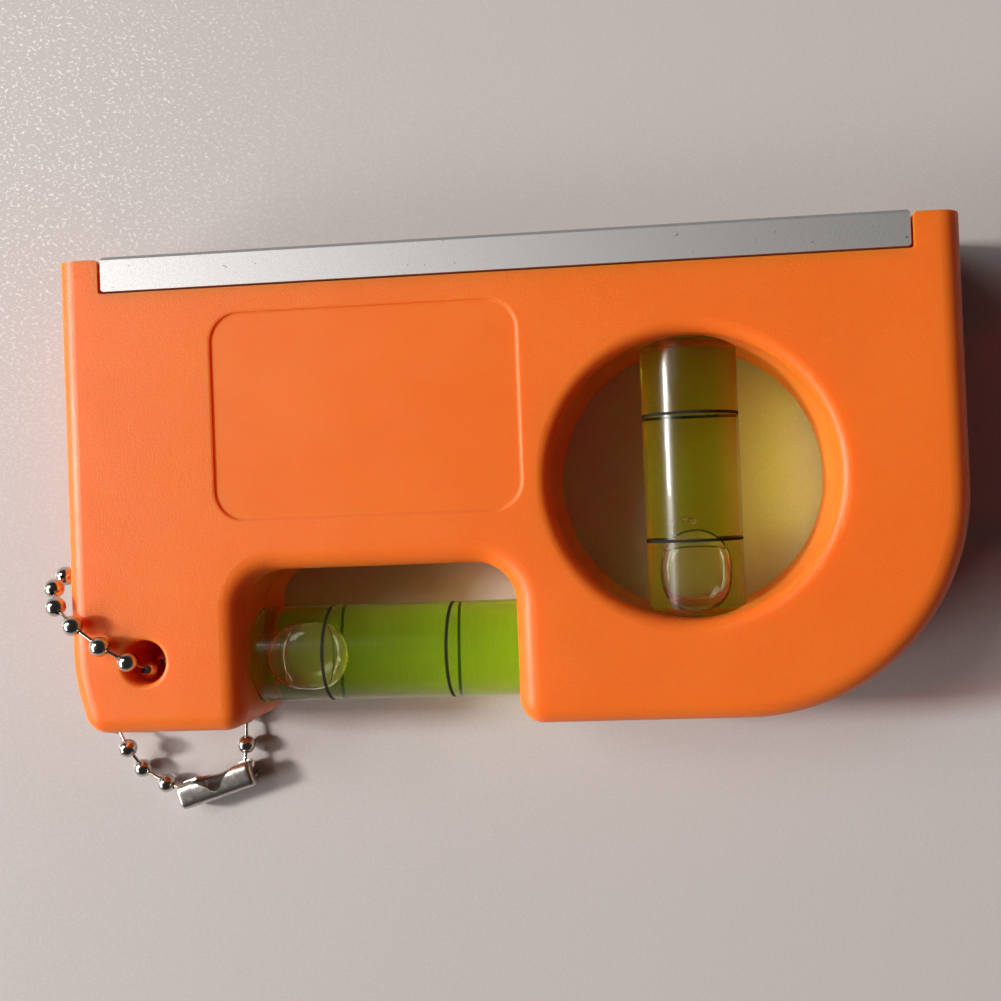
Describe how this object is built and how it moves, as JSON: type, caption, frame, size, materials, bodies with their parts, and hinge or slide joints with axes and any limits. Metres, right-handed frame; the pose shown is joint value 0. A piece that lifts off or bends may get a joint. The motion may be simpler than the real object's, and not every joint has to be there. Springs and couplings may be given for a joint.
{
  "type": "keychain level",
  "caption": "Pocket spirit level: orange two-shell body with a metal base strip, a vial across an open notch, a vial in a round window and a ball-chain loop.",
  "frame": {"origin": "middle of the body's flat back, on the surface that it lies on", "axes": "+X along the base strip, +Y across the body towards the base strip, +Z out of the front face"},
  "size_m": [0.0945, 0.0585, 0.0172],
  "materials": {
    "orange_plastic": "spark-textured moulding",
    "strip_metal": "satin, fine grain",
    "vial_acrylic": "clear polished acrylic",
    "vial_lines": "black ink",
    "vial_liquid": "clear yellow-green liquid",
    "bubble_air": "air",
    "chain_nickel": "bright nickel plate"
  },
  "bodies": {
    "level": {"front_shell": "orange_plastic", "back_shell": "orange_plastic", "base_strip": "strip_metal", "notch_vial_tube": "vial_acrylic", "notch_vial_plug": "vial_acrylic", "notch_vial_rings": "vial_lines", "notch_vial_liquid": "vial_liquid", "window_vial_tube": "vial_acrylic", "window_vial_plug": "vial_acrylic", "window_vial_rings": "vial_lines", "window_vial_liquid": "vial_liquid", "chain_ball_01": "chain_nickel", "chain_ball_02": "chain_nickel", "chain_ball_03": "chain_nickel", "chain_ball_04": "chain_nickel", "chain_ball_05": "chain_nickel", "chain_ball_06": "chain_nickel", "chain_ball_07": "chain_nickel", "chain_ball_08": "chain_nickel", "chain_ball_09": "chain_nickel", "chain_ball_10": "chain_nickel", "chain_ball_11": "chain_nickel", "chain_ball_12": "chain_nickel", "chain_ball_13": "chain_nickel", "chain_ball_14": "chain_nickel", "chain_ball_15": "chain_nickel", "chain_ball_16": "chain_nickel", "chain_ball_17": "chain_nickel", "chain_ball_18": "chain_nickel", "chain_ball_19": "chain_nickel", "chain_ball_20": "chain_nickel", "chain_ball_21": "chain_nickel", "chain_ball_22": "chain_nickel", "chain_ball_23": "chain_nickel", "chain_ball_24": "chain_nickel", "chain_ball_25": "chain_nickel", "chain_ball_26": "chain_nickel", "chain_pins": "chain_nickel", "chain_connector": "chain_nickel"},
    "notch_bubble": {"notch_vial_bubble": "bubble_air"},
    "window_bubble": {"window_vial_bubble": "bubble_air"}
  },
  "joints": [
    {"name": "notch_bubble_slide", "type": "slide", "parent": "level", "child": "notch_bubble", "axis": [1, 0, 0], "range_m": [0, 0.0168], "deforming": ["notch_vial_liquid"]},
    {"name": "window_bubble_slide", "type": "slide", "parent": "level", "child": "window_bubble", "axis": [0, 1, 0], "range_m": [0, 0.0188], "deforming": ["window_vial_liquid"]}
  ]
}
